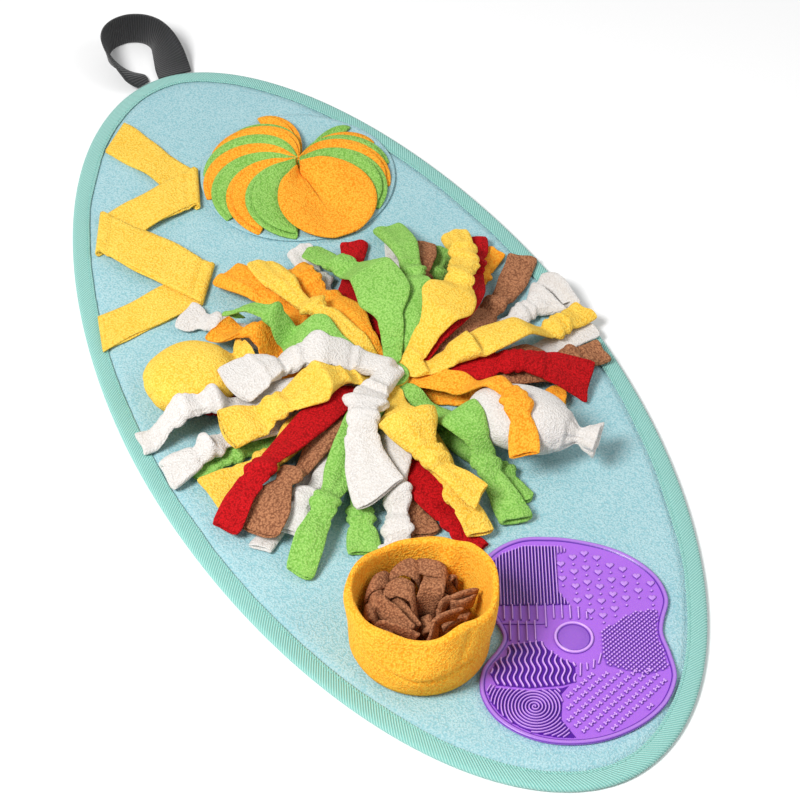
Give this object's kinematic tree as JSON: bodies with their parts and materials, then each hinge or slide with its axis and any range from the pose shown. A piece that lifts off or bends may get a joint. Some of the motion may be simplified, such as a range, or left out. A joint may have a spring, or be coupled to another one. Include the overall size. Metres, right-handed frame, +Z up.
{
  "type": "dog snuffle mat",
  "caption": "Oval fleece foraging mat for a dog, with folded petals, a folded strip, knotted strips, a small basket, a lick pad and a webbing loop.",
  "frame": {"origin": "middle of the flat underside of the panel, where the mat lies on the floor", "axes": "+X along the mat's length towards the end with the lick pad, +Z up"},
  "size_m": [0.7612, 0.3274, 0.0583],
  "materials": {
    "fleece_pale_blue": "short bobbly pile",
    "tape_mint": "twill weave with a stitch line",
    "webbing_black": "woven webbing",
    "fleece_yellow": "short bobbly pile",
    "fleece_orange": "short bobbly pile",
    "fleece_green": "short bobbly pile",
    "fleece_red": "short bobbly pile",
    "fleece_white": "short bobbly pile",
    "fleece_brown": "short bobbly pile",
    "silicone_purple": "satin moulded silicone"
  },
  "bodies": {
    "root": {"mat_panel": "fleece_pale_blue", "edge_binding": "tape_mint", "anchor_strap": "webbing_black", "zigzag_strip": "fleece_yellow", "flower_base": "fleece_pale_blue", "petal_01_green": "fleece_green", "petal_02_orange": "fleece_orange", "petal_03_orange": "fleece_orange", "petal_04_green": "fleece_green", "petal_05_green": "fleece_green", "petal_06_orange": "fleece_orange", "petal_07_orange": "fleece_orange", "petal_08_green": "fleece_green", "petal_09_green": "fleece_green", "petal_10_orange": "fleece_orange", "petal_11_green": "fleece_green", "petal_12_orange": "fleece_orange", "petal_13_green": "fleece_green", "petal_14_orange": "fleece_orange", "lick_pad": "silicone_purple", "basket": "fleece_orange", "basket_tuft": "fleece_brown", "tuft_green_low": "fleece_green", "tuft_white_low": "fleece_white", "tuft_brown_low": "fleece_brown", "tuft_orange_low": "fleece_orange", "tuft_red_low": "fleece_red", "tuft_yellow_low": "fleece_yellow", "tuft_white_mid": "fleece_white", "tuft_brown_top": "fleece_brown", "tuft_red_top": "fleece_red", "tuft_orange_top": "fleece_orange", "tuft_green_mid": "fleece_green", "tuft_yellow_top": "fleece_yellow", "tuft_green_top": "fleece_green", "tuft_white_top": "fleece_white", "pod_yellow": "fleece_yellow", "pod_white": "fleece_white"}
  },
  "joints": []
}
